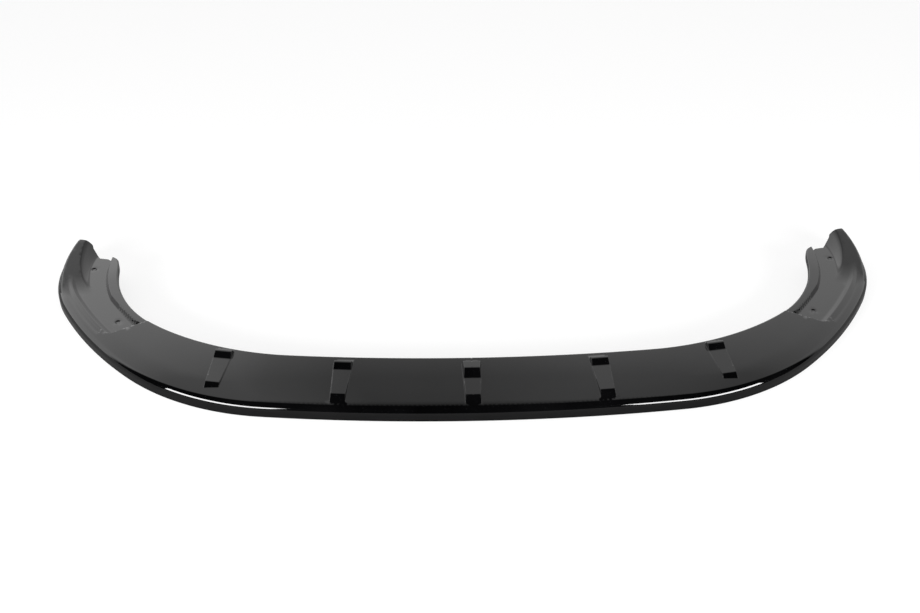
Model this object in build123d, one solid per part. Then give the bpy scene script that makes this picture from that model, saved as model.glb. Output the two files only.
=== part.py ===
from build123d import *
import math
import os

# Front splitter lip: one thermoformed sheet of gloss plastic, open underneath.
# Millimetres. X runs across the car, Y runs rearward, Z is up.
# The right half is drawn with Y = 0 at the foremost point, then mirrored and centred.

# Sheet
wall = 4.0

# Front face, bullnose and top surface, as one swept profile
face_height = 12.5
bullnose_radius = 18.0
shoulder_angle = 20.0
shoulder_run = 37.0
crown_angle = 10.0
crown_radius = 1300.0
sweep_depth = 190.0

# Outer outline: radius and heading at the end of each tangent arc
outer_arcs = [(3555.0, 6.7), (489.0, 43.3), (919.0, 61.4), (280.0, 110.0)]

# Inner outline: a negative radius turns the other way
band_depth = 137.0
inner_arcs = [(3584.0, 5.9), (536.0, 39.9), (302.6, 84.5), (-183.0, 62.0)]
flange_height = 14.0

# Bumper seat on each wing: distances inward from the outer outline
rail_edge = 24.0
step_run = 6.0
step_height = 4.6
crest_width = 3.0
seat_slope_run = 7.0
seat_drop = 2.4
seat_wall_angle = 30.0

# Front boundary of the right seat, across the wing, and its rounded corner
seat_front = [(540.0, 343.0), (746.0, 257.0), (766.0, 285.0), (770.0, 252.0), (960.0, 168.0)]
seat_corner_radius = 26.0

# Raised inner rim beside the seat
rim_edge = 89.5
rim_split = 58.0
rim_kink = 7.0
rim_rear_radius = 310.0
rim_rear_turn = 36.0
rim_drop = 1.6
rim_wall_angle = 22.0

# Upturned tip of the right wing: section across it, and where and how steeply it rises
tip_section = [(5.0, 24.0), (21.0, 62.0), (44.0, 62.0), (67.0, 32.0)]
tip_start = 431.0
tip_slope = 11.3

# End trim of the right wing, from the tip inward, with its small notch
end_trim = [(960.0, 603.0), (862.0, 588.0), (841.0, 582.0), (839.0, 576.0), (832.0, 569.0),
            (822.0, 553.0), (803.0, 549.0), (786.0, 534.0), (768.0, 516.0), (700.0, 490.0)]

# Screw dimples in the right seat
dimple_radius = 6.5
dimple_floor_radius = 4.0
dimple_depth = 1.8
dimple_places = [(735.0, 304.0), (826.0, 508.0)]

# Strakes: hollow fins on the top surface
fin_front_width = 19.0
fin_rear_width = 36.0
fin_draft = 12.0
fin_corner_radius = 7.0
fin_nose_start = 11.0
fin_nose_run = 19.0
fin_nose_height = 42.0
fin_panel_slope = 6.5
fin_ramp_angle = 38.0
fin_tail_run = 10.0
fin_end = 124.0
fin_foot_height = 26.5
fin_tail_height = 47.0
fin_plan_start = 15.0
fin_plan_end = 122.0
fin_bend_round = 6.0

# Each strake from the middle out: across, set back, lean, start of its ramp, top height
fins = [(0.0, 0.0, 0.0, 75.0, 60.0), (264.5, 0.0, 5.0, 96.0, 59.0), (515.0, 8.0, 10.5, 96.0, 59.0)]

# Reach of the cutting solids past the sheet
above = 90.0
below = -20.0
buried = 20.0
beyond = 1000.0


def heading(angle):
    """Sine and cosine of an angle in degrees."""
    return math.sin(math.radians(angle)), math.cos(math.radians(angle))


def arc_chain(arcs, start_depth, grow):
    """Tangent arcs from the middle: (centre, radius, first heading, last heading) of each.

    grow moves the whole line outward, toward the front of the car.
    """
    x, y = 0.0, start_depth - grow
    before = 0.0
    chain = []
    for radius, after in arcs:
        reach = radius + grow
        sine, cosine = heading(before)
        centre = (x - reach * sine, y + reach * cosine)
        chain.append((centre, reach, before, after))
        x, y = chain_point(chain[-1], after)
        before = after
    return chain


def chain_point(link, angle):
    """Point of one arc of a chain at a heading."""
    centre, reach = link[:2]
    sine, cosine = heading(angle)
    return centre[0] + reach * sine, centre[1] - reach * cosine


def chain_edge(link, first, last):
    """Edge along part of one arc of a chain."""
    return ThreePointArc(*[chain_point(link, angle) for angle in (first, (first + last) / 2, last)])


def arc_about(centre, radius, first, last):
    """Profile arc whose slope goes from one angle to another."""
    points = []
    for angle in (first, (first + last) / 2, last):
        sine, cosine = heading(angle)
        points.append((centre[0] - radius * sine, centre[1] + radius * cosine))
    return ThreePointArc(*points)


def closed_below(edges, foot):
    """Face under a chain of profile edges, closed down to a height."""
    first, last = edges[0] @ 0, edges[-1] @ 1
    corners = [(last.X, last.Y), (last.X, foot), (first.X, foot), (first.X, first.Y)]
    sides = [Line(a, b) for a, b in zip(corners, corners[1:])]
    return make_face(edges + sides)


def bullnose(inset, last):
    """Edges round the bullnose; the hidden inside is drawn as two flats."""
    arc = arc_about((bullnose_radius, face_height), bullnose_radius - inset, 90.0, last)
    return [Line(arc @ 0, arc @ 0.5), Line(arc @ 0.5, arc @ 1)] if inset else [arc]


def base_profile(inset):
    """Section under the front face, bullnose, shoulder and crown."""
    sine, cosine = heading(shoulder_angle)
    crown_sine, crown_cosine = heading(crown_angle)
    shoulder_radius = shoulder_run / (sine - crown_sine)
    step = shoulder_radius - bullnose_radius
    nose_centre = (bullnose_radius, face_height)
    shoulder_centre = (nose_centre[0] + step * sine, nose_centre[1] - step * cosine)
    step = crown_radius - shoulder_radius
    crown_centre = (shoulder_centre[0] + step * crown_sine, shoulder_centre[1] - step * crown_cosine)
    crown_end = math.degrees(math.asin((crown_centre[0] - sweep_depth) / crown_radius))
    top = bullnose(inset, shoulder_angle) + [
        arc_about(shoulder_centre, shoulder_radius - inset, shoulder_angle, crown_angle),
        arc_about(crown_centre, crown_radius - inset, crown_angle, crown_end),
    ]
    return closed_below(top, below if inset else 0.0)


def crest_height():
    """Height of the crest beside the rail of a wing."""
    return face_height + bullnose_radius + step_height


def seat_height():
    """Height of the bumper seat."""
    return crest_height() - seat_drop


def seat_profile(inset):
    """Section under the rail, step, crest and seat of a wing."""
    rail = face_height + bullnose_radius - inset
    crest = crest_height() - inset
    seat = seat_height() - inset
    step_start = rail_edge + inset / 2
    crest_start = step_start + step_run
    crest_end = crest_start + crest_width - inset / 2
    seat_start = crest_end + seat_slope_run
    corners = [
        (bullnose_radius, rail), (step_start, rail), (crest_start, crest),
        (crest_end, crest), (seat_start, seat), (sweep_depth, seat),
    ]
    lines = [Line(a, b) for a, b in zip(corners, corners[1:])]
    return closed_below(bullnose(inset, 0.0) + lines, below if inset else 0.0)


def swept(profile, first=0.0):
    """Solid swept round the outer outline from a heading to its end."""
    pieces = []
    for centre, radius, before, after in arc_chain(outer_arcs, 0.0, 0.0):
        start = max(before, first)
        if start < after:
            sine, cosine = heading(start)
            outward = Vector(sine, -cosine, 0)
            plane = Plane(Vector(*centre, 0) + outward * radius, x_dir=-outward,
                          z_dir=Vector(cosine, sine, 0))
            pieces.append(revolve(plane * profile, Axis((*centre, 0), (0, 0, 1)), after - start))
    return fused(pieces)


def fused(pieces):
    """One shape from several that touch."""
    whole = pieces[0]
    for piece in pieces[1:]:
        whole = whole + piece
    return whole


def foot_shift(inset, angle):
    """How far a slanted wall's foot moves when the surface is offset through the sheet."""
    sine, cosine = heading(angle)
    return inset * (1 - sine) / cosine


def prism(outline, bottom, top, taper=0.0):
    """Prism between two heights."""
    return extrude(Pos(0, 0, bottom) * outline, top - bottom, taper=taper)


def polygon(corners):
    """Face inside a closed run of corners."""
    return make_face(Polyline(*corners, close=True))


def void(grow, bottom, top):
    """Space behind the inner outline, on the right."""
    chain = arc_chain(inner_arcs, band_depth, grow)
    edges = [chain_edge(link, link[2], link[3]) for link in chain]
    last = chain_point(chain[-1], chain[-1][3])
    corners = [last, (last[0], beyond), (-10.0, beyond), (-10.0, band_depth - grow),
               (0.0, band_depth - grow)]
    edges += [Line(a, b) for a, b in zip(corners, corners[1:])]
    return prism(make_face(edges), bottom, top)


def seat_cut(inset):
    """What is taken from the top surface to form the seat and rail of a wing."""
    plan = polygon(seat_front + [(960.0, beyond), (540.0, beyond)])
    corner = plan.vertices().sort_by_distance(Vector(*seat_front[1], 0))[0]
    plan = fillet(corner, seat_corner_radius)
    shift = foot_shift(inset, seat_wall_angle)
    if shift:
        plan = offset(plan, shift, kind=Kind.INTERSECTION)
    start = face_height + bullnose_radius - inset - 0.5
    return prism(plan, start, above, -seat_wall_angle) - swept(seat_profile(inset), 30.0)


def rim_block(inset):
    """Block that bounds the raised rim between the seat and the inner edge of a wing."""
    shift = foot_shift(inset, rim_wall_angle)
    chain = arc_chain(outer_arcs, 0.0, -rim_edge - shift)
    edges = []
    for link in chain[1:]:
        last = min(link[3], rim_split)
        if link[2] < last:
            edges.append(chain_edge(link, link[2], last))
            corner = chain_point(link, last)
    sine, cosine = heading(rim_split + rim_kink)
    edges.append(JernArc(corner, (cosine, sine), rim_rear_radius, rim_rear_turn))
    end = edges[-1] @ 1
    first = chain_point(chain[1], chain[1][2])
    corners = [(end.X, end.Y), (first[0], end.Y), first]
    edges += [Line(a, b) for a, b in zip(corners, corners[1:])]
    start = seat_height() - inset - 1.0
    return prism(make_face(edges), start, above, rim_wall_angle)


def tip(inset):
    """Upturned outer side at the end of a wing."""
    section = polygon(tip_section)
    if inset:
        section = offset(section, -inset, kind=Kind.INTERSECTION)
    start = face_height + bullnose_radius - inset
    rise = (beyond - tip_start) * math.tan(math.radians(tip_slope))
    side = [(tip_start, start), (beyond, start + rise), (beyond, below), (tip_start, below)]
    wedge = extrude(Plane.YZ * polygon(side), beyond)
    return swept(section, 60.0) & wedge


def outline_y(across):
    """Y of the outer outline at an X."""
    for link in arc_chain(outer_arcs, 0.0, 0.0):
        centre, reach, before, after = link
        sine = (across - centre[0]) / reach
        if heading(before)[0] <= sine <= heading(after)[0]:
            return chain_point(link, math.degrees(math.asin(sine)))[1]


def strake(across, back, lean, ramp_start, top, inset):
    """One fin: a side profile crossed with a tapered plan."""
    nose_top = fin_nose_start + fin_nose_run
    ramp_foot = fin_nose_height + (ramp_start - nose_top) * math.tan(math.radians(fin_panel_slope))
    ramp_end = ramp_start + (top - ramp_foot) / math.tan(math.radians(fin_ramp_angle))
    side = polygon([
        (fin_nose_start, buried), (fin_nose_start, fin_foot_height), (nose_top, fin_nose_height),
        (ramp_start, ramp_foot), (ramp_end, top), (fin_end - fin_tail_run, top),
        (fin_end, fin_tail_height), (fin_end, buried),
    ])
    bends = side.vertices().filter_by(lambda v: v.Y >= fin_nose_height and v.Y > fin_tail_height
                                      or v.Y == fin_nose_height)
    if inset:
        side = offset(side, -inset, kind=Kind.INTERSECTION)
    else:
        side = fillet(bends, fin_bend_round)
    shift = foot_shift(inset, fin_draft)
    front, rear = fin_front_width / 2 - shift, fin_rear_width / 2 - shift
    plan = polygon([(front, fin_plan_start), (rear, fin_plan_end),
                    (-rear, fin_plan_end), (-front, fin_plan_start)])
    if not inset:
        plan = fillet(plan.vertices(), fin_corner_radius)
    block = extrude(Pos(0, 0, top - inset) * plan, buried - top, taper=-fin_draft)
    fin = extrude(Plane.YZ * side, fin_rear_width, both=True) & block
    return Pos(across, outline_y(across) + back, 0) * Rot(0, 0, lean) * fin


def trimmed_end(inset):
    """What is cut off past the end of the right wing."""
    reach = 15.0 if inset else 0.0
    plan = polygon(end_trim + [(end_trim[-1][0], beyond), (end_trim[0][0], beyond)])
    return prism(Pos(0, reach, 0) * plan, 2 * below, above)


def dimples(inset):
    """Cones that press the screw dimples into the right seat."""
    floor = seat_height() - dimple_depth - inset
    height = 2 * (dimple_depth + inset)
    slope = (dimple_radius - dimple_floor_radius) / dimple_depth
    top = dimple_floor_radius + slope * height
    press = Cone(dimple_floor_radius, top, height, align=(Align.CENTER, Align.CENTER, Align.MIN))
    return [Pos(*place, floor) * press for place in dimple_places]


def right_form(inset):
    """Solid form of the right half: the outside, or the hollow at a wall's depth inside it."""
    base = swept(base_profile(inset))
    raised = rim_block(inset) & Pos(0, 0, -rim_drop) * base
    form = base - seat_cut(inset) + raised + tip(inset)
    form -= void(inset, 2 * below, above)
    form -= trimmed_end(inset)
    for cone in dimples(inset):
        form -= cone
    for fin in fins:
        form += strake(*fin, inset)
    return form & Pos(beyond, 0, 0) * Box(2 * beyond, 2 * beyond, 2 * beyond)


def flange_cut():
    """What is cut off the inner wall below the turned-down flange."""
    lowered = Pos(0, 0, -flange_height) * swept(base_profile(0.0))
    return void(wall + 1.0, 2 * below, above) & lowered


right = right_form(0.0) - right_form(wall) - flange_cut()
depth = right.bounding_box().size.Y
splitter_lip = Pos(0, -depth / 2, 0) * (right + mirror(right, Plane.YZ))

os.makedirs("parts", exist_ok=True)
export_step(splitter_lip, "parts/splitter_lip.step")
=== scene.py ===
import bpy
import math
import numpy as np
from mathutils import Matrix, Vector, geometry, kdtree

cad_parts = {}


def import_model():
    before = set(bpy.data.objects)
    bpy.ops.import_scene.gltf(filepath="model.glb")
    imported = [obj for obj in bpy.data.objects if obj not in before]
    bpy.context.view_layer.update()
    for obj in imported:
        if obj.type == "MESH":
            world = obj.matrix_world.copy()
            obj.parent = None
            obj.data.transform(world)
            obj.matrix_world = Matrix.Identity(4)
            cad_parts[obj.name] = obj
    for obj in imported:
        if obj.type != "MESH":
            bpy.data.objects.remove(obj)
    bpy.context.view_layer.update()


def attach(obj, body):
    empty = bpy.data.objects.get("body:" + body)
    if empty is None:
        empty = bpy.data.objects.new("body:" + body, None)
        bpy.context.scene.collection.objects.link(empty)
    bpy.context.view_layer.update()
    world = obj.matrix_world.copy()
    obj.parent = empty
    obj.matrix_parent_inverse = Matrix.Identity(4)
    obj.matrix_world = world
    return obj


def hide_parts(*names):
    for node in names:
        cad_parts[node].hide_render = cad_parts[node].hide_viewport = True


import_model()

# Front splitter lip. Lengths here are millimetres, as in the part's source, until the mesh is made.
# X runs across the car, Y rearward, Z up; the right half is drawn with Y = 0 at the foremost point.

# Sheet and its swept profile
wall = 4.0
face_height = 12.5
bullnose_radius = 18.0
shoulder_angle = 20.0
shoulder_run = 37.0
crown_angle = 10.0
crown_radius = 1300.0

# Outlines, as the radius and end heading of each tangent arc
outer_arcs = [(3555.0, 6.7), (489.0, 43.3), (919.0, 61.4), (280.0, 110.0)]
band_depth = 137.0
inner_arcs = [(3584.0, 5.9), (536.0, 39.9), (302.6, 84.5), (-183.0, 62.0)]
inner_tail = 40.0
flange_height = 14.0
inner_edge_round = 4.0
wing_start = 600.0
off_band = 100.0

# Bumper seat on each wing
rail_edge = 24.0
step_run = 6.0
step_height = 4.6
crest_width = 3.0
seat_slope_run = 7.0
seat_drop = 2.4
seat_wall_angle = 30.0
seat_foot_sink = 0.5
seat_front = [(540.0, 343.0), (746.0, 257.0), (766.0, 285.0), (770.0, 252.0), (960.0, 168.0)]
seat_corner_radius = 26.0
seat_first_turn = 30.0

# Raised inner rim
rim_edge = 89.5
rim_split = 58.0
rim_kink = 7.0
rim_rear_radius = 310.0
rim_drop = 1.6
rim_wall_angle = 22.0
rim_foot_sink = 1.0

# Upturned tip
tip_section = [(5.0, 24.0), (21.0, 62.0), (44.0, 62.0), (67.0, 32.0)]
tip_start = 431.0
tip_slope = 11.3
tip_first_turn = 60.0
end_trim = [(960.0, 603.0), (862.0, 588.0), (841.0, 582.0), (839.0, 576.0), (832.0, 569.0),
            (822.0, 553.0), (803.0, 549.0), (786.0, 534.0), (768.0, 516.0), (700.0, 490.0)]
trim_turns = (85.0, 109.5)

# Screw dimples
dimple_radius = 6.5
dimple_floor_radius = 4.0
dimple_depth = 1.8
dimple_reach = 9.0
dimple_places = [(735.0, 304.0), (826.0, 508.0)]

# Strakes: across, set back, lean, start of the ramp, top height
fin_front_width = 19.0
fin_rear_width = 36.0
fin_draft = 12.0
fin_corner_radius = 7.0
fin_nose_start = 11.0
fin_nose_run = 19.0
fin_nose_height = 42.0
fin_panel_slope = 6.5
fin_ramp_angle = 38.0
fin_tail_run = 10.0
fin_end = 124.0
fin_foot_height = 26.5
fin_tail_height = 47.0
fin_plan_start = 15.0
fin_plan_end = 122.0
fin_reach = 60.0
fins = [(0.0, 0.0, 0.0, 75.0, 60.0), (264.5, 0.0, 5.0, 96.0, 59.0), (515.0, 8.0, 10.5, 96.0, 59.0)]

# Rounded creases, as the height over which two surfaces blend
rail_blend = 0.9
crest_blend = 0.4
seat_blend = 0.7
wall_foot_blend = 1.2
rim_top_blend = 2.0
dimple_blend = 0.6
tip_top_blend = 2.0
tip_outside_blend = 9.0
tip_inside_blend = 11.0
fin_nose_blend = 1.0
fin_ramp_blend = 1.1
fin_top_blend = 1.6
fin_tail_blend = 2.9
fin_side_blend = 3.0
fin_foot_blend = 2.2

# Blends that grow inward from the outline: start, run, least share, most share, and full height
seat_edge_blend = (13.0, 5.0, 0.01, 1.0, 1.6)
tip_foot_blend = (4.0, 3.0, 0.2, 6.0, 1.0)

# Mesh rows, as distances inward, angles on the bullnose and heights on the face
first_row = 4.0
bullnose_turns = [31.0, 23.0, 15.0, 7.5, 0.0]
face_rows = [8.0, 3.0, 0.0]
inner_rows = [0.25, 0.9, 2.0, 4.0]
flange_drops = [2.0, 6.0, flange_height - inner_edge_round]
grid_rows = [5.2, 6.6, 8.3, 10.3, 12.6, 15.5, 19.0, 23.5, 29.0, 36.0, 44.0, 53.0, 63.0, 73.0, 83.0,
             93.0, 103.0, 113.0, 122.0, 129.0]
dimple_rings = [2.0, 3.4, 4.0, 4.7, 5.9, 6.5, 7.2]
middle_rows = 30

# Mesh spacings
outline_step = 7.0
inner_step = 6.0
grid_step = 9.0
crease_step = 5.0
trim_step = 2.5
fin_step = 2.6
fin_bend_inset = 2.2
least_fin_wall = 0.9
least_turn = 0.25
band_margin = 1.2
grid_margin = 3.0
grid_inner_margin = 6.5
grid_clearance = 3.2
refining_rounds = 3
least_edge = 1.6
chord_error = 0.14
halvings = 40


def tangent(degrees):
    """Tangent of an angle in degrees."""
    return math.tan(math.radians(degrees))


def heading(degrees):
    """Sine and cosine of an angle in degrees."""
    return math.sin(math.radians(degrees)), math.cos(math.radians(degrees))


def arc_chain(arcs, y):
    """Centre, radius, first heading and last heading of each tangent arc, from X = 0 outward."""
    x, before, links = 0.0, 0.0, []
    for radius, after in arcs:
        sine, cosine = heading(before)
        centre = (x - radius * sine, y + radius * cosine)
        links.append((centre[0], centre[1], radius, before, after))
        sine, cosine = heading(after)
        x, y = centre[0] + radius * sine, centre[1] - radius * cosine
        before = after
    return links


outer = arc_chain(outer_arcs, 0.0)
inner = arc_chain(inner_arcs, band_depth)


def chain_end(links):
    """The last point of a chain of arcs."""
    cx, cy, radius, before, after = links[-1]
    sine, cosine = heading(after)
    return np.array([cx + radius * sine, cy - radius * cosine])


def outer_distance(x, y):
    """Distance inward from the outer outline, and the heading of the outline there."""
    depth = np.zeros(x.shape)
    turn = np.zeros(x.shape)
    for i, (cx, cy, radius, before, after) in enumerate(outer):
        angle = np.degrees(np.arctan2(x - cx, cy - y))
        hit = angle >= before if i else np.ones(x.shape, bool)
        depth = np.where(hit, radius - np.hypot(x - cx, y - cy), depth)
        turn = np.where(hit, angle, turn)
    return depth, turn


def inner_distance(x, y):
    """Distance outward from the inner outline, positive on the band."""
    gap = np.full(x.shape, np.nan)
    for cx, cy, radius, before, after in inner:
        side = math.copysign(1.0, radius)
        angle = np.degrees(np.arctan2(side * (x - cx), side * (cy - y)))
        low, high = min(before, after), max(before, after)
        hit = (angle >= low - 1e-6) & (angle <= high + 1e-6)
        here = side * (np.hypot(x - cx, y - cy) - abs(radius))
        gap = np.where(hit & (np.isnan(gap) | (np.abs(here) < np.abs(gap))), here, gap)
    end = chain_end(inner)
    gap = np.where((y > end[1]) & (x > wing_start), x - end[0], gap)
    return np.where(np.isnan(gap), off_band, gap)


def lower(a, b, blend):
    """Lesser of two heights, with the crease between them rounded."""
    h = np.maximum(blend - np.abs(a - b), 0.0) / blend
    return np.minimum(a, b) - h * h * blend / 4


def upper(a, b, blend):
    """Greater of two heights, with the crease between them rounded."""
    return -lower(-a, -b, blend)


def growing(blend, depth):
    """A blend that grows with the distance inward from the outer outline."""
    start, run, least, most, full = blend
    return np.clip((depth - start) / run, least, most) * full


def arc_height(centre, radius, depth):
    """Height of an arc of the profile at a distance inward."""
    return centre[1] + np.sqrt(np.maximum(radius ** 2 - (centre[0] - depth) ** 2, 0.0))


def nose(depth):
    """Height of the bullnose."""
    return arc_height((bullnose_radius, face_height), bullnose_radius, np.clip(depth, 0, bullnose_radius))


def profile(depth):
    """Height of the bullnose, shoulder and crown."""
    sine, cosine = heading(shoulder_angle)
    crown_sine, crown_cosine = heading(crown_angle)
    shoulder_radius = shoulder_run / (sine - crown_sine)
    step = shoulder_radius - bullnose_radius
    shoulder = (bullnose_radius + step * sine, face_height - step * cosine)
    step = crown_radius - shoulder_radius
    crown = (shoulder[0] + step * crown_sine, shoulder[1] - step * crown_cosine)
    first = bullnose_radius * (1 - sine)
    return np.where(depth < first, nose(depth), np.where(
        depth < first + shoulder_run, arc_height(shoulder, shoulder_radius, depth),
        arc_height(crown, crown_radius, depth)))


rail_height = face_height + bullnose_radius
crest_height = rail_height + step_height
seat_height = crest_height - seat_drop
crest_start = rail_edge + step_run
crest_end = crest_start + crest_width


def seat_profile(depth):
    """Height of the rail, step, crest and seat of a wing."""
    climb = rail_height + (depth - rail_edge) * step_height / step_run
    fall = crest_height - (depth - crest_end) * seat_drop / seat_slope_run
    top = lower(lower(climb, crest_height, rail_blend), fall, crest_blend)
    low = np.where(depth < crest_start, rail_height, seat_height)
    return np.where(depth < bullnose_radius, nose(depth), upper(top, low, seat_blend))


def line_gap(x, y, a, b):
    """Signed distance from a line, positive to its right."""
    run, rise = b[0] - a[0], b[1] - a[1]
    return ((x - a[0]) * rise - (y - a[1]) * run) / math.hypot(run, rise)


def seat_corner():
    """Centre of the seat's rounded corner, and the normals of the two lines it joins."""
    p, q, r = seat_front[:3]
    one = ((q[1] - p[1]) / math.dist(p, q), (p[0] - q[0]) / math.dist(p, q))
    two = ((r[1] - q[1]) / math.dist(q, r), (q[0] - r[0]) / math.dist(q, r))
    rows = np.array([one, two])
    return np.linalg.solve(rows, rows @ np.array(q) - seat_corner_radius), one, two


def seat_gap(x, y):
    """Distance outside the seat's front boundary, negative over the seat."""
    a, b, c, d = [line_gap(x, y, p, q) for p, q in zip(seat_front, seat_front[1:])]
    corner, one, two = seat_corner()
    vx, vy = x - corner[0], y - corner[1]
    between = (one[0] * vy - one[1] * vx >= 0) & (vx * two[1] - vy * two[0] >= 0)
    gap = np.where(between, np.hypot(vx, vy) - seat_corner_radius, np.maximum(a, np.minimum(b, c)))
    return np.maximum(gap, d)


def rim_centre():
    """Centre of the arc that the rear part of the rim's foot follows."""
    cx, cy, radius, before, after = [link for link in outer if link[3] < rim_split <= link[4]][0]
    sine, cosine = heading(rim_split)
    corner = (cx + (radius - rim_edge) * sine, cy - (radius - rim_edge) * cosine)
    sine, cosine = heading(rim_split + rim_kink)
    return np.array([corner[0] - rim_rear_radius * sine, corner[1] + rim_rear_radius * cosine])


def rim_gap(x, y, depth):
    """Distance inside the rim block's foot."""
    centre = rim_centre()
    return np.minimum(depth - rim_edge, rim_rear_radius - np.hypot(x - centre[0], y - centre[1]))


def tip_sides(depth):
    """Heights of the outer and inner sides of the upturned tip."""
    (a, az), (b, bz), (c, cz), (d, dz) = tip_section
    return az + (depth - a) * (bz - az) / (b - a), cz - (depth - c) * (cz - dz) / (d - c)


def tip_wedge(y):
    """Height to which the tip has risen at a distance rearward."""
    return rail_height + (y - tip_start) * tangent(tip_slope)


def tip_height(y, depth):
    """Height of the upturned outer side at the end of a wing."""
    outside, inside = tip_sides(depth)
    top = lower(tip_wedge(y), tip_section[1][1], tip_top_blend)
    return lower(lower(outside, top, tip_outside_blend), inside, tip_inside_blend)


def outline_y(across):
    """Where the outer outline lies at a distance from the middle."""
    for cx, cy, radius, before, after in outer:
        sine = (across - cx) / radius
        if heading(before)[0] <= sine <= heading(after)[0]:
            return cy - radius * math.cos(math.asin(sine))


def fin_levels(u, ramp_start, top):
    """Heights of a strake's nose, panel, ramp and tail at a distance along it."""
    nose_top = fin_nose_start + fin_nose_run
    front = fin_foot_height + (u - fin_nose_start) * (fin_nose_height - fin_foot_height) / fin_nose_run
    panel = fin_nose_height + (u - nose_top) * tangent(fin_panel_slope)
    foot = fin_nose_height + (ramp_start - nose_top) * tangent(fin_panel_slope)
    ramp = foot + (u - ramp_start) * tangent(fin_ramp_angle)
    tail = top - (u - fin_end + fin_tail_run) * (top - fin_tail_height) / fin_tail_run
    return front, panel, ramp, tail


def fin_half_width(u):
    """Half of a strake's top width at a distance along it."""
    widening = (fin_rear_width - fin_front_width) / 2 / (fin_plan_end - fin_plan_start)
    return fin_front_width / 2 + (u - fin_plan_start) * widening


def fin_height(x, y, across, back, lean, ramp_start, top):
    """Height of a strake's rounded surface."""
    sine, cosine = heading(lean)
    start = outline_y(across) + back
    v = (x - across) * cosine + (y - start) * sine
    u = (y - start) * cosine - (x - across) * sine
    front, panel, ramp, tail = fin_levels(u, ramp_start, top)
    side = upper(lower(front, panel, fin_nose_blend), ramp, fin_ramp_blend)
    side = lower(lower(side, top, fin_top_blend), tail, fin_tail_blend)
    beside = fin_half_width(u) - np.abs(v)
    ends = (u - fin_plan_start, fin_plan_end - u)
    inside = np.minimum(beside, np.minimum(*ends))
    for end in ends:
        corner = fin_corner_radius - np.hypot(np.maximum(fin_corner_radius - beside, 0.0),
                                              np.maximum(fin_corner_radius - end, 0.0))
        inside = np.where((beside < fin_corner_radius) & (end < fin_corner_radius),
                          np.minimum(inside, corner), inside)
    return lower(side, top + inside / tangent(fin_draft), fin_side_blend)


def height(x, y):
    """Height of the outer surface of the right half at a place in plan."""
    x, y = np.abs(np.asarray(x, float)), np.asarray(y, float)
    depth, turn = outer_distance(x, y)
    base = profile(depth)
    front = rail_height - seat_foot_sink + seat_gap(x, y) / tangent(seat_wall_angle)
    rim_foot = seat_height - rim_foot_sink + rim_gap(x, y, depth) / tangent(rim_wall_angle)
    rim = lower(base - rim_drop, rim_foot, rim_top_blend)
    floor = upper(seat_profile(depth), front, wall_foot_blend)
    floor = upper(floor, rim, wall_foot_blend)
    for px, py in dimple_places:
        out = np.hypot(x - px, y - py)
        press = (dimple_radius - out) * dimple_depth / (dimple_radius - dimple_floor_radius)
        dent = upper(lower(press, dimple_depth, dimple_blend), 0.0, dimple_blend)
        floor = floor - dent * (out < dimple_reach)
    wing = lower(base, floor, growing(seat_edge_blend, depth))
    whole = np.where(turn > seat_first_turn, wing, base)
    raised = upper(whole, tip_height(y, depth), growing(tip_foot_blend, depth))
    whole = np.where(turn > tip_first_turn, raised, whole)
    for fin in fins:
        near = np.abs(x - fin[0]) < fin_reach
        if near.any():
            whole[near] = upper(whole[near], fin_height(x[near], y[near], *fin), fin_foot_blend)
    gap = np.clip(inner_distance(x, y), 0.0, inner_edge_round)
    return whole - inner_edge_round + np.sqrt(inner_edge_round ** 2 - (inner_edge_round - gap) ** 2)


def base_height(x, y):
    """Height of the swept profile at a place in plan."""
    return profile(outer_distance(x, y)[0])


def seat_floor(x, y):
    """Height of the seat's profile at a place in plan."""
    return seat_profile(outer_distance(x, y)[0])


def trim_gap(x, y):
    """Distance before the end trim, measured along Y."""
    xs, ys = np.array(end_trim[::-1]).T
    return np.interp(x, xs, ys) - y


def on_outer(depth, turns):
    """Points at a distance inward from the outer outline, at given headings."""
    turns = np.asarray(turns, float)
    x, y = np.zeros(turns.shape), np.zeros(turns.shape)
    for i, (cx, cy, radius, before, after) in enumerate(outer):
        hit = turns >= before if i else np.ones(turns.shape, bool)
        a = np.radians(turns)
        x = np.where(hit, cx + (radius - depth) * np.sin(a), x)
        y = np.where(hit, cy - (radius - depth) * np.cos(a), y)
    return np.stack([x, y], -1)


def outer_turns(step, depth=0.0, first=0.0):
    """Headings spaced evenly along each arc of the outer outline."""
    turns = []
    for cx, cy, radius, before, after in outer:
        low = max(before, first)
        if low < after:
            count = max(1, round((radius - depth) * math.radians(after - low) / step))
            turns += list(np.linspace(low, after, count + 1)[:-1])
    return np.array(turns + [outer[-1][4]])


def last_turn(depth):
    """Heading at which the end trim cuts the line at a distance from the outer outline."""
    low, high = trim_turns
    for _ in range(halvings):
        middle = (low + high) / 2
        point = on_outer(depth, [middle])[0]
        if trim_gap(point[0], point[1]) > 0:
            low = middle
        else:
            high = middle
    return low


def row_turns():
    """Headings of the vertices in each row along the outline, the last one at the end trim."""
    turns = outer_turns(outline_step)
    end = last_turn(first_row)
    return np.append(turns[turns < end - least_turn], end)


def inner_line():
    """Points along the inner outline, from the middle to the end trim."""
    points = []
    for cx, cy, radius, before, after in inner:
        count = max(1, round(abs(radius * math.radians(after - before)) / inner_step))
        a = np.radians(np.linspace(before, after, count + 1)[:-1])
        points += list(np.stack([cx + radius * np.sin(a), cy - radius * np.cos(a)], -1))
    end = chain_end(inner)
    points = np.array(points + [end, end + [0.0, inner_tail]])
    keep = trim_gap(points[:, 0], points[:, 1]) > 0
    stop = int(np.argmin(keep))
    inside, past = points[stop - 1], points[stop]
    for _ in range(halvings):
        middle = (inside + past) / 2
        if trim_gap(middle[0], middle[1]) > 0:
            inside = middle
        else:
            past = middle
    return np.vstack([points[:stop], inside])


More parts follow.
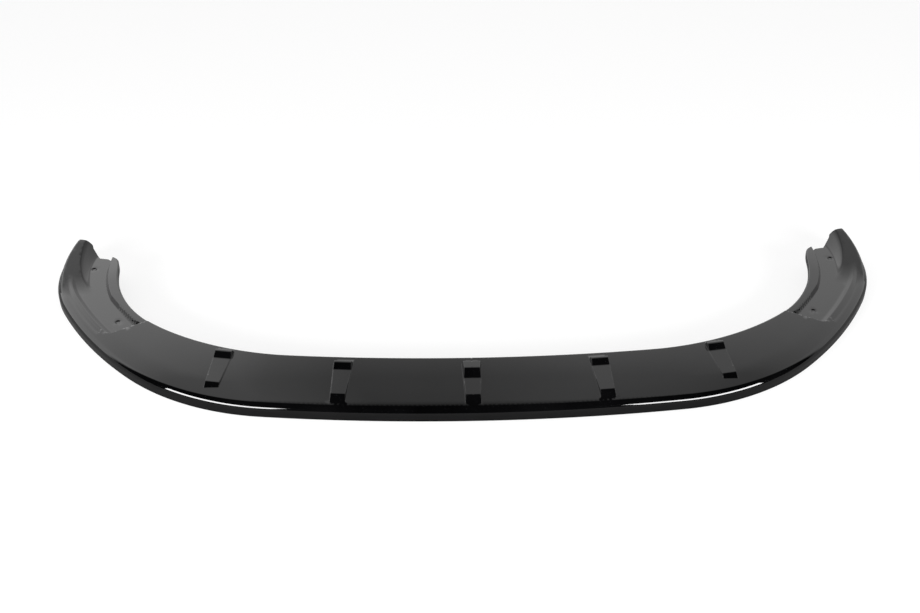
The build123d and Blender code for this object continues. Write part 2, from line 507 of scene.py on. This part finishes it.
def trim_line(low, high):
    """Points along the end trim, from the inner to the outer outline."""
    xs = [point[0] for point in end_trim[::-1] if low[0] + 0.5 < point[0] < high[0] - 0.5]
    stops = [low[0]] + xs + [high[0]]
    trim = []
    for a, b in zip(stops, stops[1:]):
        count = max(1, int((b - a) / trim_step))
        trim += list(np.linspace(a, b, count + 1)[:-1])
    trim = np.array(trim + [high[0]])
    return np.stack([trim, trim_gap(trim, np.zeros(len(trim)))], -1)


def level(start, normal, gap, low, high):
    """How far along each normal a falling measure reaches nought."""
    low = np.full(len(start), low)
    high = np.full(len(start), high)
    for _ in range(halvings):
        middle = (low + high) / 2
        point = start + normal * middle[:, None]
        up = gap(point[:, 0], point[:, 1], middle) > 0
        low, high = np.where(up, middle, low), np.where(up, high, middle)
    return (low + high) / 2


def inside_band(points, edge=band_margin):
    """Which points lie inside the triangulated loop by a margin."""
    x, y = points[:, 0], points[:, 1]
    depth, turn = outer_distance(x, y)
    return ((depth > first_row + edge) & (inner_distance(x, y) > edge)
            & (trim_gap(x, y) > edge) & (x > edge))


class Plan:
    """Points and kept edges of the triangulation in plan."""

    def __init__(self):
        self.points = np.zeros((0, 2))
        self.edges = []

    def add(self, points, closed=False, joined=True, keep=True):
        """Adds the kept points, with an edge between each kept pair of neighbours."""
        keep = np.full(len(points), True) & keep
        index = np.full(len(points), -1)
        index[keep] = len(self.points) + np.arange(int(keep.sum()))
        self.points = np.vstack([self.points, points[keep]])
        if joined:
            after = np.roll(index, -1) if closed else index[1:]
            self.edges += [(int(a), int(b)) for a, b in zip(index, after) if a >= 0 and b >= 0]

    def add_inside(self, points, closed=False, keep=True):
        """Adds the stretches of a line that lie well inside the band."""
        self.add(points, closed, keep=keep & inside_band(points))


def fin_outline():
    """Points round a strake's top in its own axes, and the normals there."""
    front, rear = fin_front_width / 2, fin_rear_width / 2
    corners = [(front, fin_plan_start), (rear, fin_plan_end), (-rear, fin_plan_end),
               (-front, fin_plan_start)]
    path, normals = [], []
    for i in range(4):
        p, q, r = [np.array(corners[(i + k) % 4]) for k in range(3)]
        length = np.linalg.norm(q - p)
        along, after = (q - p) / length, (r - q) / np.linalg.norm(r - q)
        out, out_after = np.array([along[1], -along[0]]), np.array([after[1], -after[0]])
        count = int((length - 2 * fin_corner_radius) / fin_step) + 1
        for t in np.linspace(fin_corner_radius, length - fin_corner_radius, count):
            path.append(p + along * t)
            normals.append(out)
        middle = q - along * fin_corner_radius - out * fin_corner_radius
        for share in (0.2, 0.4, 0.6, 0.8):
            normal = out * (1 - share) + out_after * share
            normal = normal / np.linalg.norm(normal)
            path.append(middle + normal * fin_corner_radius)
            normals.append(normal)
    return np.array(path), np.array(normals)


def fin_lines(plan, fin):
    """Lines along a strake's upper edges and foot, and across its bends."""
    across, back, lean, ramp_start, top = fin
    start_y = outline_y(across) + back
    sine, cosine = heading(lean)
    draft = tangent(fin_draft)

    def world(v, u):
        return np.stack([across + v * cosine - u * sine, start_y + v * sine + u * cosine], -1)

    def side(x, y):
        u = (y - start_y) * cosine - (x - across) * sine
        front, panel, ramp, tail = fin_levels(u, ramp_start, top)
        return np.minimum(np.minimum(np.maximum(np.minimum(front, panel), ramp), top), tail)

    def over_base(x, y, q):
        return np.minimum(side(x, y), top - q / draft) - base_height(x, y)

    path, normals = fin_outline()
    start = world(path[:, 0], path[:, 1])
    normal = world(path[:, 0] + normals[:, 0], path[:, 1] + normals[:, 1]) - start
    foot = level(start, normal, over_base, low=-9.0, high=14.0)
    edge = level(start, normal, lambda x, y, q: top - q / draft - side(x, y), low=-3.0, high=14.0)
    walls = foot - edge > least_fin_wall
    for shift in (-1.25, -0.6, 0.0, 0.4):
        plan.add_inside(start + normal * (edge + shift)[:, None], closed=True, keep=walls)
    for shift in (-0.35, 0.0, 0.6):
        plan.add_inside(start + normal * (foot + shift)[:, None], closed=True)
    nose_top = fin_nose_start + fin_nose_run
    climb = top - fin_nose_height - (ramp_start - nose_top) * tangent(fin_panel_slope)
    ramp_end = ramp_start + climb / tangent(fin_ramp_angle)
    for bend, reach in ((nose_top, 1.6), (ramp_start, 1.7), (ramp_end, 2.0),
                        (fin_end - fin_tail_run, 2.6)):
        for u in (bend - reach, bend, bend + reach):
            centre = world(np.zeros(1), np.full(1, u))
            drop = (top - side(centre[:, 0], centre[:, 1])[0]) * draft
            half = fin_half_width(u) + drop - fin_bend_inset
            plan.add_inside(world(np.linspace(-half, half, 13), np.full(13, u)))


def seat_path():
    """The seat's front boundary as points and normals away from the seat."""
    corner, one, two = seat_corner()
    one, two = np.array(one), np.array(two)
    p, q, r, s, t = [np.array(point) for point in seat_front]
    touch_one = corner + one * seat_corner_radius
    touch_two = corner + two * seat_corner_radius
    first = [(point, one) for point in np.linspace(p, touch_one, 60)]
    for share in np.linspace(0.08, 0.92, 9):
        normal = one * (1 - share) + two * share
        normal = normal / np.linalg.norm(normal)
        first.append((corner + normal * seat_corner_radius, normal))
    first += [(point, two) for point in np.linspace(touch_two, r - (r - q) * 0.3, 6)]
    four = np.array([(t - s)[1], -(t - s)[0]]) / np.linalg.norm(t - s)
    second = [(point, four) for point in np.linspace(s + (t - s) * 0.04, t, 60)]
    return [(np.array([a for a, b in run]), np.array([b for a, b in run])) for run in (first, second)]


def rim_path():
    """The rim's foot as points and normals towards the inner edge."""
    turns = np.arange(50.0, rim_split, 0.6)
    start = on_outer(rim_edge, turns)
    normal = on_outer(rim_edge + 1.0, turns) - start
    turns = np.radians(np.arange(rim_split + rim_kink + 0.3, rim_split + rim_kink + 34.0, 0.7))
    way = np.stack([np.sin(turns), -np.cos(turns)], -1)
    return np.vstack([start, rim_centre() + rim_rear_radius * way]), np.vstack([normal, -way])


def wall_lines(plan, start, normal, foot_height, slope, surfaces):
    """Lines along the foot and the top of a sloping wall, beside the two surfaces it joins."""
    for surface, shifts in surfaces:
        gap = level(start, normal, lambda x, y, q: surface(x, y) - foot_height - q / slope,
                    low=-4.0, high=16.0)
        for shift in shifts:
            points = start + normal * (gap + shift)[:, None]
            depth, turn = outer_distance(points[:, 0], points[:, 1])
            plan.add_inside(points[turn > 55.0])


def seat_lines(plan):
    """Lines along the creases of the rail, step, crest and seat, and along the seat's wall."""
    for crease in (rail_edge, crest_start, crest_end, crest_end + seat_slope_run):
        for depth in (crease - 0.8, crease, crease + 0.8):
            points = on_outer(depth, outer_turns(crease_step, depth, tip_first_turn))
            x, y = points.T
            over = (seat_gap(x, y) < 1.0) & (seat_floor(x, y) > tip_height(y, depth) - 1.0)
            plan.add_inside(points[over])
    surfaces = ((seat_floor, (-0.5, 0.0, 0.6)), (base_height, (-0.8, 0.0, 0.8)))
    for start, normal in seat_path():
        wall_lines(plan, start, normal, rail_height - seat_foot_sink, tangent(seat_wall_angle), surfaces)


def rim_lines(plan):
    """Lines along the foot and the top of the rim's wall."""
    surfaces = ((lambda x, y: seat_height, (-0.6, 0.0, 0.6)),
                (lambda x, y: base_height(x, y) - rim_drop, (-0.9, 0.0, 0.9)))
    wall_lines(plan, *rim_path(), seat_height - rim_foot_sink, tangent(rim_wall_angle), surfaces)


def tip_lines(plan):
    """Lines along the edges of the upturned tip."""
    turns = np.arange(64.0, 108.0, 0.7)
    starts = on_outer(0.0, turns)
    normal = on_outer(1.0, turns) - starts
    crossings = [
        (lambda x, y, q: tip_wedge(y) - tip_sides(q)[0], 0.0, 24.0, (-1.0, -0.5, 0.0, 0.5, 1.0)),
        (lambda x, y, q: tip_sides(q)[1] - tip_wedge(y), 0.0, 76.0, (-1.4, -0.7, 0.0, 0.7, 1.4)),
        (lambda x, y, q: nose(q) - tip_sides(q)[0], 0.0, 24.0, (-0.5, 0.0, 0.5)),
        (lambda x, y, q: tip_sides(q)[1] - seat_profile(q), 40.0, 76.0, (-0.9, 0.0, 0.9)),
    ]
    for gap, low, high, shifts in crossings:
        place = level(starts, normal, gap, low, high)
        for shift in shifts:
            points = starts + normal * (place + shift)[:, None]
            x, y = points.T
            plan.add_inside(points[tip_wedge(y) > seat_floor(x, y) + 0.6])


def dimple_lines(plan):
    """Rings round each screw dimple."""
    a = np.linspace(0, 2 * math.pi, 20, endpoint=False)
    for px, py in dimple_places:
        for radius in dimple_rings:
            plan.add_inside(np.stack([px + radius * np.cos(a), py + radius * np.sin(a)], -1), closed=True)
        plan.add(np.array([[px, py]]), joined=False)


def inner_lines(plan):
    """Rows along the rounded inner edge."""
    edge = inner_line()[:-1]
    for gap in inner_rows:
        moved = inner_shift(edge, gap)
        keep = (trim_gap(moved[:, 0], moved[:, 1]) > 0.4) & (moved[:, 0] > 0.4)
        plan.add(moved[keep])


def inner_shift(points, gap):
    """Points of the inner outline moved onto the band."""
    step = 0.01
    moved = points.copy()
    for _ in range(3):
        x, y = moved[:, 0], moved[:, 1]
        here = inner_distance(x, y)
        gx = (inner_distance(x + step, y) - inner_distance(x - step, y)) / (2 * step)
        gy = (inner_distance(x, y + step) - inner_distance(x, y - step)) / (2 * step)
        size = np.hypot(gx, gy)
        size[(size < 0.5) | (size > 1.5)] = np.nan
        moved = moved + np.stack([gx, gy], -1) / (size ** 2)[:, None] * (gap - here)[:, None]
    return moved[~np.isnan(moved[:, 0])]


def grid_points(plan, outside):
    """Even rows of points that keep clear of the lines, but not of the outer row."""
    grid = np.vstack([on_outer(depth, outer_turns(grid_step, depth)) for depth in grid_rows])
    grid = grid[inside_band(grid, grid_margin)]
    grid = grid[inner_distance(grid[:, 0], grid[:, 1]) > grid_inner_margin]
    plan.add(apart(grid, plan.points[outside:], grid_clearance), joined=False)


def apart(points, others, least):
    """Points that keep a distance from others."""
    tree = kdtree.KDTree(len(others))
    for i, point in enumerate(others):
        tree.insert((point[0], point[1], 0.0), i)
    tree.balance()
    keep = [tree.find((point[0], point[1], 0.0))[2] > least for point in points]
    return points[np.array(keep)]


def plan_points():
    """The plan of the right half, and how many points each side of its loop has."""
    plan = Plan()
    outside = on_outer(first_row, row_turns())
    inside = inner_line()
    trim = trim_line(inside[-1], outside[-1])
    middle = np.linspace(first_row, band_depth, middle_rows)[1:-1]
    across = np.stack([np.zeros(len(middle)), middle], -1)
    plan.add(np.vstack([outside, trim[::-1][1:-1], inside[::-1], across[::-1]]), closed=True)
    for fin in fins:
        fin_lines(plan, fin)
    seat_lines(plan)
    rim_lines(plan)
    tip_lines(plan)
    dimple_lines(plan)
    inner_lines(plan)
    grid_points(plan, len(outside))
    return plan, (len(outside), len(trim), len(inside), len(across))


def triangulated(plan, loop_size):
    """Triangles in plan, refined where they leave the surface."""
    points, edges = plan.points, plan.edges
    for turn in range(refining_rounds + 1):
        found = geometry.delaunay_2d_cdt([Vector(point) for point in points], edges,
                                         [list(range(loop_size))], 1, 0.02)
        places = np.array([(v.x, v.y) for v in found[0]])
        faces = np.array(found[2])
        if turn == refining_rounds:
            break
        z = height(places[:, 0], places[:, 1])
        pairs = np.sort(np.vstack([faces[:, [0, 1]], faces[:, [1, 2]], faces[:, [2, 0]]]), 1)
        pairs, uses = np.unique(pairs, axis=0, return_counts=True)
        a, b = pairs[uses == 2].T
        middle = (places[a] + places[b]) / 2
        length = np.linalg.norm(places[a] - places[b], axis=1)
        error = np.abs(height(middle[:, 0], middle[:, 1]) - (z[a] + z[b]) / 2)
        points = np.vstack([points, middle[(length > least_edge) & (error > chord_error)]])
    source = [ids[0] if ids else -1 for ids in found[3]]
    return places, faces, source


def surface_normals(x, y):
    """Unit normals of the outer surface."""
    step = 0.02
    dx = (height(x + step, y) - height(x - step, y)) / (2 * step)
    dy = (height(x, y + step) - height(x, y - step)) / (2 * step)
    normal = np.stack([-dx, -dy, np.ones(len(x))], -1)
    return normal / np.linalg.norm(normal, axis=1)[:, None]


def strip(last, now):
    """Quads between two rows of vertices."""
    return [(last[i], now[i], now[i + 1], last[i + 1]) for i in range(len(now) - 1)]


def add_front(vertices, normals, faces, last):
    """Adds the rows of the bullnose and the face below a row of vertices."""
    rows = [(bullnose_radius * (1 - math.cos(math.radians(a))),
             face_height + bullnose_radius * math.sin(math.radians(a)), a) for a in bullnose_turns]
    rows += [(0.0, z, 0.0) for z in face_rows]
    turns = row_turns()
    for depth, z, angle in rows:
        turns[-1] = last_turn(depth)
        out = on_outer(-1.0, turns) - on_outer(0.0, turns)
        lean = math.radians(angle)
        start = len(vertices)
        for place, way in zip(on_outer(depth, turns), out):
            vertices.append(np.array([place[0], place[1], z]))
            normals.append(np.array([way[0] * math.cos(lean), way[1] * math.cos(lean), math.sin(lean)]))
        now = list(range(start, len(vertices)))
        faces += strip(last, now)
        last = now


def add_flange(vertices, normals, faces, inner_row):
    """Adds the rows of the flange below the inner edge."""
    way = np.gradient(np.array([vertices[i][:2] for i in inner_row]), axis=0)
    way[0] = (1.0, 0.0)
    way /= np.linalg.norm(way, axis=1)[:, None]
    way = np.stack([-way[:, 1], way[:, 0], np.zeros(len(way))], -1)
    for i, index in enumerate(inner_row):
        normals[index] = way[i]
    last = inner_row
    for drop in flange_drops:
        start = len(vertices)
        for i, index in enumerate(inner_row):
            vertices.append(vertices[index] - np.array([0.0, 0.0, drop]))
            normals.append(way[i])
        now = list(range(start, len(vertices)))
        faces += [face[::-1] for face in strip(last, now)]
        last = now


def right_skin():
    """Outer surface of the right half: vertices, their normals, and faces."""
    plan, (outside, trim, inside, across) = plan_points()
    inner_first = outside + trim - 2
    loop = inner_first + inside + across
    places, faces, source = triangulated(plan, loop)
    x, y = places.T
    vertices = list(np.stack([x, y, height(x, y)], -1))
    normals = list(surface_normals(np.maximum(x, 0.0), y))
    faces = [tuple(face) for face in faces]
    row = {origin: i for i, origin in enumerate(source) if 0 <= origin < loop}
    add_front(vertices, normals, faces, [row[i] for i in range(outside)])
    add_flange(vertices, normals, faces, [row[inner_first + i] for i in reversed(range(inside))])
    return np.array(vertices), np.array(normals), faces


def shell():
    """The whole sheet: outer surface, its mirror image, inner surface and edges."""
    vertices, normals, faces = right_skin()
    count = len(vertices)
    middle = vertices[:, 0] < 1e-4
    twin = np.where(middle, np.arange(count), count + np.cumsum(~middle) - 1)
    flip = np.array([-1.0, 1.0, 1.0])
    normals[middle, 0] = 0.0
    normals /= np.linalg.norm(normals, axis=1)[:, None]
    vertices = np.vstack([vertices, vertices[~middle] * flip])
    normals = np.vstack([normals, normals[~middle] * flip])
    faces = faces + [tuple(int(twin[i]) for i in reversed(face)) for face in faces]
    count = len(vertices)
    edges = {(a, b): True for face in faces for a, b in zip(face, face[1:] + face[:1])}
    border = [(a, b) for a, b in edges if (b, a) not in edges]
    inside = vertices - wall * normals
    inside[:, 2] = np.maximum(inside[:, 2], 0.0)
    inside[:, 1] = np.minimum(inside[:, 1], vertices[:, 1].max())
    skins = [(face, "out") for face in faces]
    skins += [(tuple(i + count for i in reversed(face)), "in") for face in faces]
    skins += [((b, a, a + count, b + count), "edge") for a, b in border]
    return np.vstack([vertices, inside]), np.vstack([normals, -normals]), skins


def lip_object():
    """The sheet as one smooth-shaded mesh in metres, centred front to back."""
    vertices, normals, skins = shell()
    vertices[:, 1] -= (vertices[:, 1].max() + vertices[:, 1].min()) / 2
    mesh = bpy.data.meshes.new("lip")
    mesh.from_pydata((vertices / 1000).tolist(), [], [face for face, kind in skins])
    mesh.polygons.foreach_set("use_smooth", [True] * len(mesh.polygons))
    mesh.update()
    loops = []
    for polygon, (face, kind) in zip(mesh.polygons, skins):
        if kind == "edge":
            loops += [tuple(polygon.normal)] * len(face)
        else:
            loops += [tuple(normals[i]) for i in face]
    mesh.normals_split_custom_set(loops)
    piece = bpy.data.objects.new("lip", mesh)
    bpy.context.scene.collection.objects.link(piece)
    return piece


lip = lip_object()
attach(lip, "root")
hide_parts("splitter_lip")


def node(tree, kind, **values):
    """A new node with its sockets or settings filled in."""
    made = tree.nodes.new(kind)
    for name, value in values.items():
        if name in made.inputs:
            made.inputs[name].default_value = value
        else:
            setattr(made, name, value)
    return made


def ramp(tree, value, stops):
    """Colour ramp over a value, from (position, colour) stops."""
    made = node(tree, "ShaderNodeValToRGB")
    elements = made.color_ramp.elements
    while len(elements) < len(stops):
        elements.new(1.0)
    for element, (position, colour) in zip(elements, stops):
        element.position = position
        element.color = (*colour, 1)
    tree.links.new(value, made.inputs["Fac"])
    return made.outputs["Color"]


def grey_ramp(tree, value, stops):
    """Colour ramp over a value, from (position, grey level) stops."""
    return ramp(tree, value, [(position, (level, level, level)) for position, level in stops])


def gloss_black():
    """Near-black moulded plastic: high gloss, slight orange peel, faint haze and fine dust."""
    material = bpy.data.materials.new("gloss_black")
    material.use_nodes = True
    tree = material.node_tree
    shader = tree.nodes["Principled BSDF"]
    shader.inputs["IOR"].default_value = 1.5
    place = node(tree, "ShaderNodeTexCoord")

    def noise(scale, detail):
        made = node(tree, "ShaderNodeTexNoise", Scale=scale, Detail=detail)
        tree.links.new(place.outputs["Object"], made.inputs["Vector"])
        return made.outputs["Fac"]

    tint = ramp(tree, noise(9.0, 3.0), [(0.35, (0.0008, 0.0008, 0.0009)), (0.7, (0.0020, 0.0020, 0.0022))])
    specks = grey_ramp(tree, noise(620.0, 1.0), [(0.74, 0.0), (0.80, 1.0)])
    dusty = node(tree, "ShaderNodeMix", data_type="RGBA")
    tree.links.new(specks, dusty.inputs["Factor"])
    tree.links.new(tint, dusty.inputs[6])
    dusty.inputs[7].default_value = (0.02, 0.02, 0.022, 1)
    tree.links.new(dusty.outputs[2], shader.inputs["Base Color"])
    haze = grey_ramp(tree, noise(5.0, 6.0), [(0.3, 0.03), (0.75, 0.06)])
    tree.links.new(haze, shader.inputs["Roughness"])
    bump = node(tree, "ShaderNodeBump", Strength=0.06, Distance=0.0004)
    tree.links.new(noise(160.0, 2.0), bump.inputs["Height"])
    tree.links.new(bump.outputs["Normal"], shader.inputs["Normal"])
    return material


lip.data.materials.append(gloss_black())

# Studio, in metres
floor_size = 14.0
floor_grey = 0.28
floor_lift = 0.75
studio_level = 5.6
strip_elevation = 15.0
strip_height = 0.6
strip_reach = 2.8


def pale_floor():
    """Pale matt floor that the camera alone sees lifted to white, with its shadows kept."""
    material = bpy.data.materials.new("floor")
    material.use_nodes = True
    tree = material.node_tree
    shader = tree.nodes["Principled BSDF"]
    shader.inputs["Base Color"].default_value = (floor_grey, floor_grey, floor_grey, 1)
    shader.inputs["Roughness"].default_value = 0.9
    shader.inputs["Specular IOR Level"].default_value = 0.0
    shader.inputs["Emission Color"].default_value = (1, 1, 1, 1)
    path = node(tree, "ShaderNodeLightPath")
    lift = node(tree, "ShaderNodeMath", operation="MULTIPLY")
    tree.links.new(path.outputs["Is Camera Ray"], lift.inputs[0])
    lift.inputs[1].default_value = floor_lift
    tree.links.new(lift.outputs[0], shader.inputs["Emission Strength"])
    return material


bpy.ops.mesh.primitive_plane_add(size=floor_size, location=(0, 0, 0))
floor = bpy.context.object
floor.name = "floor"
floor.data.materials.append(pale_floor())


def studio():
    """Pale studio beyond the lip, dark overhead and behind the camera, which itself sees white."""
    world = bpy.data.worlds.new("studio")
    bpy.context.scene.world = world
    world.use_nodes = True
    tree = world.node_tree
    tree.nodes.clear()
    out = node(tree, "ShaderNodeOutputWorld")
    back = node(tree, "ShaderNodeBackground")
    tree.links.new(back.outputs[0], out.inputs[0])
    way = node(tree, "ShaderNodeTexCoord")
    split = node(tree, "ShaderNodeSeparateXYZ")
    tree.links.new(way.outputs["Generated"], split.inputs[0])

    def product(one, two):
        made = node(tree, "ShaderNodeMath", operation="MULTIPLY")
        tree.links.new(one, made.inputs[0])
        if isinstance(two, float):
            made.inputs[1].default_value = two
        else:
            tree.links.new(two, made.inputs[1])
        return made.outputs[0]

    rise = grey_ramp(tree, split.outputs["Z"], [
        (0.0, 0.60), (0.50, 0.72), (0.60, 0.66), (0.725, 0.53), (0.77, 0.47), (0.82, 0.375),
        (0.96, 0.385), (0.985, 0.16), (0.998, 0.0)])
    across = node(tree, "ShaderNodeMath", operation="MULTIPLY_ADD")
    tree.links.new(split.outputs["X"], across.inputs[0])
    across.inputs[1].default_value = 0.5
    across.inputs[2].default_value = 0.5
    side = grey_ramp(tree, across.outputs[0], [
        (0.0, 0.64), (0.25, 0.68), (0.40, 0.68), (0.465, 0.40), (0.52, 0.42), (0.57, 0.54),
        (0.70, 0.44), (1.0, 0.37)])
    ahead = node(tree, "ShaderNodeMapRange", interpolation_type="SMOOTHSTEP")
    tree.links.new(split.outputs["Y"], ahead.inputs["Value"])
    ahead.inputs["From Min"].default_value = 0.0
    ahead.inputs["From Max"].default_value = 0.12
    glow = product(product(product(rise, side), ahead.outputs[0]), studio_level)
    path = node(tree, "ShaderNodeLightPath")
    seen = node(tree, "ShaderNodeMix")
    tree.links.new(path.outputs["Is Camera Ray"], seen.inputs["Factor"])
    tree.links.new(glow, seen.inputs[2])
    seen.inputs[3].default_value = 1.0
    tree.links.new(seen.outputs[0], back.inputs["Strength"])


def softbox(azimuth, width, power):
    """Strip light aimed at the lip from the camera's side."""
    lamp = bpy.data.lights.new("softbox", "AREA")
    lamp.shape = "RECTANGLE"
    lamp.size, lamp.size_y = width, strip_height
    lamp.energy = power
    box = bpy.data.objects.new("softbox", lamp)
    turn, rise = math.radians(azimuth), math.radians(strip_elevation)
    box.location = (strip_reach * math.cos(rise) * math.sin(turn),
                    -strip_reach * math.cos(rise) * math.cos(turn), strip_reach * math.sin(rise))
    box.rotation_euler = (-box.location).to_track_quat("-Z", "Y").to_euler()
    bpy.context.scene.collection.objects.link(box)


studio()
softbox(-45.2, 2.17, 100.0)
softbox(43.0, 2.04, 95.0)

# Camera, from the photograph's perspective
camera_pitch = 55.14
camera_yaw = -1.82
camera_roll = 0.12
camera = bpy.data.objects.new("camera", bpy.data.cameras.new("camera"))
camera.data.lens = 50.0
camera.data.sensor_width = 36.0
camera.location = (-0.0873, -2.1938, 1.5925)
camera.rotation_euler = (math.radians(camera_pitch), 0.0, math.radians(camera_yaw))
bpy.context.scene.collection.objects.link(camera)
bpy.context.view_layer.update()
camera.matrix_world = camera.matrix_world @ Matrix.Rotation(math.radians(camera_roll), 4, "Z")
bpy.context.scene.camera = camera
bpy.context.scene.view_settings.view_transform = "Standard"
